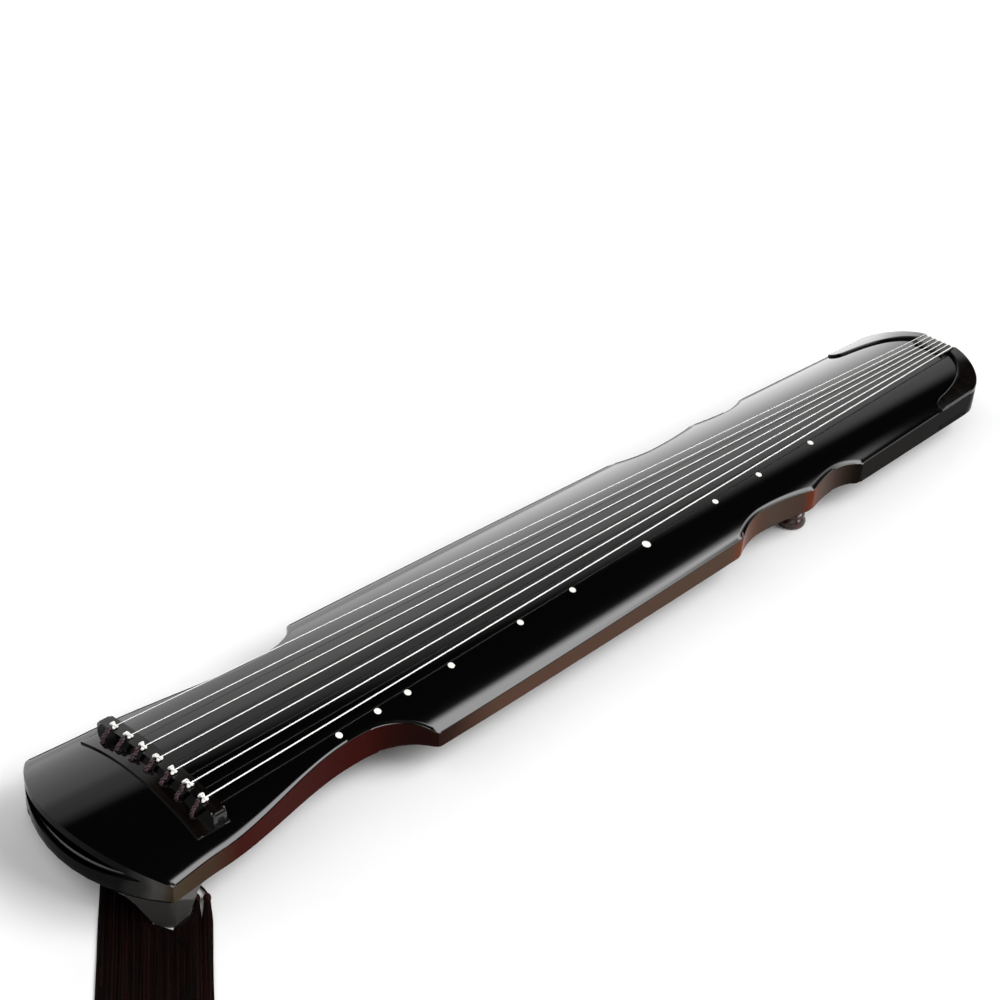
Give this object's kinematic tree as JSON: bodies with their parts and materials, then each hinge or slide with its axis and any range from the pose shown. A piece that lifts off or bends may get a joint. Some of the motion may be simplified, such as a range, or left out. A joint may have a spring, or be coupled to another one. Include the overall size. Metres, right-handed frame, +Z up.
{
  "type": "guqin",
  "caption": "Long black-lacquered zither with an arched top, a waisted outline, a low bridge, marker studs, twisted pegs under the head and dark tassels.",
  "frame": {"origin": "centre of the footprint of the rigid body at the surface that the guards and feet stand on", "axes": "+X from the head to the tail along the strings, +Y away from the marker studs, +Z up out of the sounding board"},
  "size_m": [1.3223, 0.3674, 0.0813],
  "materials": {
    "black_lacquer": "polished black lacquer over wood",
    "underside_lacquer": "satin dark brown-black lacquer over wood",
    "dark_hardwood": "polished near-black hardwood",
    "rosewood": "oiled red-brown hardwood",
    "bare_wood": "planed pale wood",
    "shell": "polished white shell",
    "string_wire": "silvery wound string",
    "silk_cord": "twisted silk cord",
    "tassel_thread": "loose silk thread"
  },
  "bodies": {
    "body": {"top_board": "black_lacquer", "bottom_board": "underside_lacquer", "phoenix_tongue": "black_lacquer", "chenglu": "dark_hardwood", "yueshan": "dark_hardwood", "longyin": "dark_hardwood", "tail_rest": "dark_hardwood", "crown_corner_near": "dark_hardwood", "crown_corner_far": "dark_hardwood", "lower_corner_near": "dark_hardwood", "lower_corner_far": "dark_hardwood", "peg_guard_near": "black_lacquer", "peg_guard_far": "black_lacquer", "peg_plate": "rosewood", "hui_studs": "shell", "goose_foot_near": "rosewood", "goose_foot_far": "rosewood", "foot_blocks": "bare_wood", "heaven_post": "bare_wood", "earth_post": "bare_wood", "pool_rim": "dark_hardwood", "pond_rim": "dark_hardwood", "string_1": "string_wire", "string_2": "string_wire", "string_3": "string_wire", "string_4": "string_wire", "string_5": "string_wire", "string_6": "string_wire", "string_7": "string_wire", "silk_loop_1": "silk_cord", "silk_loop_2": "silk_cord", "silk_loop_3": "silk_cord", "silk_loop_4": "silk_cord", "silk_loop_5": "silk_cord", "silk_loop_6": "silk_cord", "silk_loop_7": "silk_cord", "tassel_cord_1": "tassel_thread", "tassel_cord_2": "tassel_thread", "tassel_cord_3": "tassel_thread", "tassel_cord_4": "tassel_thread", "tassel_cord_5": "tassel_thread", "tassel_cord_6": "tassel_thread", "tassel_cord_7": "tassel_thread", "tassel_1": "tassel_thread", "tassel_2": "tassel_thread", "tassel_3": "tassel_thread", "tassel_4": "tassel_thread", "tassel_5": "tassel_thread", "tassel_6": "tassel_thread", "tassel_7": "tassel_thread"},
    "peg_1_turns": {"peg_1": "rosewood"},
    "peg_2_turns": {"peg_2": "rosewood"},
    "peg_3_turns": {"peg_3": "rosewood"},
    "peg_4_turns": {"peg_4": "rosewood"},
    "peg_5_turns": {"peg_5": "rosewood"},
    "peg_6_turns": {"peg_6": "rosewood"},
    "peg_7_turns": {"peg_7": "rosewood"}
  },
  "joints": [
    {"name": "peg_1_turn", "type": "hinge", "parent": "body", "child": "peg_1_turns", "pos_m": [-0.5345, -0.0609, 0.022], "axis": [0, 0, 1], "range_deg": [-180, 180]},
    {"name": "peg_2_turn", "type": "hinge", "parent": "body", "child": "peg_2_turns", "pos_m": [-0.5345, -0.0406, 0.022], "axis": [0, 0, 1], "range_deg": [-180, 180]},
    {"name": "peg_3_turn", "type": "hinge", "parent": "body", "child": "peg_3_turns", "pos_m": [-0.5345, -0.0203, 0.022], "axis": [0, 0, 1], "range_deg": [-180, 180]},
    {"name": "peg_4_turn", "type": "hinge", "parent": "body", "child": "peg_4_turns", "pos_m": [-0.5345, 0, 0.022], "axis": [0, 0, 1], "range_deg": [-180, 180]},
    {"name": "peg_5_turn", "type": "hinge", "parent": "body", "child": "peg_5_turns", "pos_m": [-0.5345, 0.0203, 0.022], "axis": [0, 0, 1], "range_deg": [-180, 180]},
    {"name": "peg_6_turn", "type": "hinge", "parent": "body", "child": "peg_6_turns", "pos_m": [-0.5345, 0.0406, 0.022], "axis": [0, 0, 1], "range_deg": [-180, 180]},
    {"name": "peg_7_turn", "type": "hinge", "parent": "body", "child": "peg_7_turns", "pos_m": [-0.5345, 0.0609, 0.022], "axis": [0, 0, 1], "range_deg": [-180, 180]}
  ]
}
